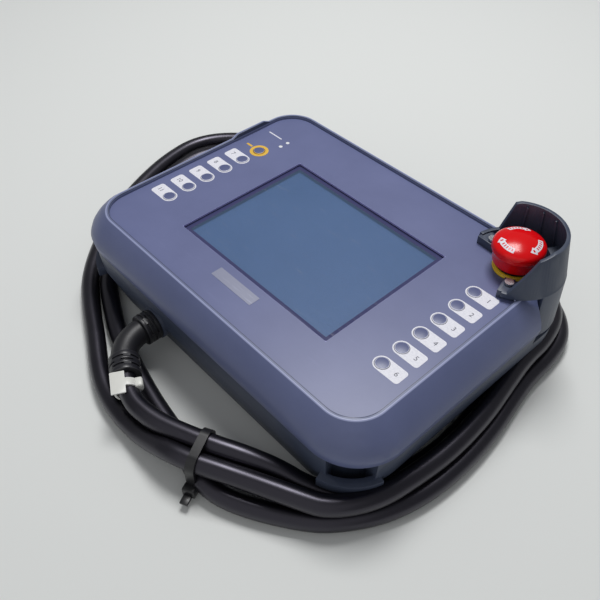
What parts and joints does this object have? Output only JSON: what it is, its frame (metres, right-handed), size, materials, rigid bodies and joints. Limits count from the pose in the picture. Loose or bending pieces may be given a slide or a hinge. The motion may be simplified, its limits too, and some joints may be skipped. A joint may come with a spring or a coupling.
{
  "type": "handheld operator touch panel",
  "caption": "Handheld touch panel with embossed keys either side of a display, a guarded stop button in one corner and a coiled cable.",
  "frame": {"origin": "centre of the flat back the panel lies on, at the floor", "axes": "+X to the right across the display, +Y towards the top edge away from the user, +Z out of the screen"},
  "size_m": [0.3431, 0.2876, 0.088],
  "materials": {
    "front_shell": "fine-grained slate blue-grey moulding",
    "rear_shell": "fine-grained darker slate moulding",
    "face_film": "satin printed membrane",
    "key_film": "satin embossed membrane with a white printed ring",
    "operate_key": "satin embossed membrane with a yellow printed ring",
    "touch_glass": "clear touch pane with soft reflections",
    "display": "unlit grey-blue display",
    "lens": "unlit dark lens",
    "stop_red": "bright red with white turn arrows",
    "stop_yellow": "warning yellow ring",
    "stop_black": "black moulding",
    "stop_stem": "dark grey moulding",
    "guard_shell": "slate moulding, lighter on its rim",
    "seal_rubber": "soft black rubber",
    "sheet_steel": "bright sheet",
    "screw_steel": "plated",
    "spring_steel": "bright wire",
    "standoff_brass": "plain turned",
    "board": "green circuit board",
    "switch_plastic": "black switch bodies",
    "gland_plastic": "black ribbed moulding",
    "boot_rubber": "black flexible boot",
    "cable_jacket": "glossy black jacket",
    "marker_plastic": "white nylon",
    "tie_plastic": "black nylon",
    "plug_shell": "black coated shell"
  },
  "bodies": {
    "panel": {"board_screws": "screw_steel", "board_standoffs": "standoff_brass", "boot_collar": "gland_plastic", "bracket_screws": "screw_steel", "cable_boot": "boot_rubber", "cable_connector": "plug_shell", "cable_turn_1": "cable_jacket", "cable_turn_2": "cable_jacket", "cable_turn_3": "cable_jacket", "coil_tie": "tie_plastic", "estop_body": "stop_black", "estop_collar": "stop_yellow", "estop_contacts": "stop_black", "estop_gasket": "seal_rubber", "estop_guard": "guard_shell", "estop_locknut": "stop_black", "estop_spring": "spring_steel", "face_overlay": "face_film", "front_housing": "front_shell", "gland_collar": "gland_plastic", "guard_screws": "screw_steel", "housing_screws": "screw_steel", "housing_seal": "seal_rubber", "key_board_left": "board", "key_board_right": "board", "key_board_screws": "screw_steel", "key_switches": "switch_plastic", "lcd_bracket": "sheet_steel", "lcd_module": "display", "main_board": "board", "marker_tie": "marker_plastic", "rear_housing": "rear_shell", "status_lenses": "lens", "touch_panel": "touch_glass", "window_seal": "seal_rubber"},
    "key_1": {"key_1": "key_film"},
    "key_2": {"key_2": "key_film"},
    "key_3": {"key_3": "key_film"},
    "key_4": {"key_4": "key_film"},
    "key_5": {"key_5": "key_film"},
    "key_6": {"key_6": "key_film"},
    "key_7": {"key_7": "key_film"},
    "key_8": {"key_8": "key_film"},
    "key_9": {"key_9": "key_film"},
    "key_10": {"key_10": "key_film"},
    "key_11": {"key_11": "key_film"},
    "key_operate": {"key_operate": "operate_key"},
    "estop_stem": {"estop_stem": "stop_stem"},
    "estop_cap": {"estop_cap": "stop_red"}
  },
  "joints": [
    {"name": "key_1_press", "type": "slide", "parent": "panel", "child": "key_1", "axis": [0, 0, -1], "range_m": [0, 0.0005], "stiffness_N_per_m": 1500, "springref_m": -0.0003},
    {"name": "key_2_press", "type": "slide", "parent": "panel", "child": "key_2", "axis": [0, 0, -1], "range_m": [0, 0.0005], "stiffness_N_per_m": 1500, "springref_m": -0.0003},
    {"name": "key_3_press", "type": "slide", "parent": "panel", "child": "key_3", "axis": [0, 0, -1], "range_m": [0, 0.0005], "stiffness_N_per_m": 1500, "springref_m": -0.0003},
    {"name": "key_4_press", "type": "slide", "parent": "panel", "child": "key_4", "axis": [0, 0, -1], "range_m": [0, 0.0005], "stiffness_N_per_m": 1500, "springref_m": -0.0003},
    {"name": "key_5_press", "type": "slide", "parent": "panel", "child": "key_5", "axis": [0, 0, -1], "range_m": [0, 0.0005], "stiffness_N_per_m": 1500, "springref_m": -0.0003},
    {"name": "key_6_press", "type": "slide", "parent": "panel", "child": "key_6", "axis": [0, 0, -1], "range_m": [0, 0.0005], "stiffness_N_per_m": 1500, "springref_m": -0.0003},
    {"name": "key_7_press", "type": "slide", "parent": "panel", "child": "key_7", "axis": [0, 0, -1], "range_m": [0, 0.0005], "stiffness_N_per_m": 1500, "springref_m": -0.0003},
    {"name": "key_8_press", "type": "slide", "parent": "panel", "child": "key_8", "axis": [0, 0, -1], "range_m": [0, 0.0005], "stiffness_N_per_m": 1500, "springref_m": -0.0003},
    {"name": "key_9_press", "type": "slide", "parent": "panel", "child": "key_9", "axis": [0, 0, -1], "range_m": [0, 0.0005], "stiffness_N_per_m": 1500, "springref_m": -0.0003},
    {"name": "key_10_press", "type": "slide", "parent": "panel", "child": "key_10", "axis": [0, 0, -1], "range_m": [0, 0.0005], "stiffness_N_per_m": 1500, "springref_m": -0.0003},
    {"name": "key_11_press", "type": "slide", "parent": "panel", "child": "key_11", "axis": [0, 0, -1], "range_m": [0, 0.0005], "stiffness_N_per_m": 1500, "springref_m": -0.0003},
    {"name": "key_operate_press", "type": "slide", "parent": "panel", "child": "key_operate", "axis": [0, 0, -1], "range_m": [0, 0.0005], "stiffness_N_per_m": 1500, "springref_m": -0.0003},
    {"name": "estop_push", "type": "slide", "parent": "panel", "child": "estop_stem", "axis": [0, 0, -1], "range_m": [0, 0.0025], "stiffness_N_per_m": 2000, "springref_m": -0.002, "deforming": ["estop_spring"]},
    {"name": "estop_twist", "type": "hinge", "parent": "estop_stem", "child": "estop_cap", "pos_m": [0.092, 0.0632, 0.076], "axis": [0, 0, 1], "range_deg": [-45, 0], "stiffness_Nm_per_rad": 0.05, "springref_deg": 5.73}
  ]
}
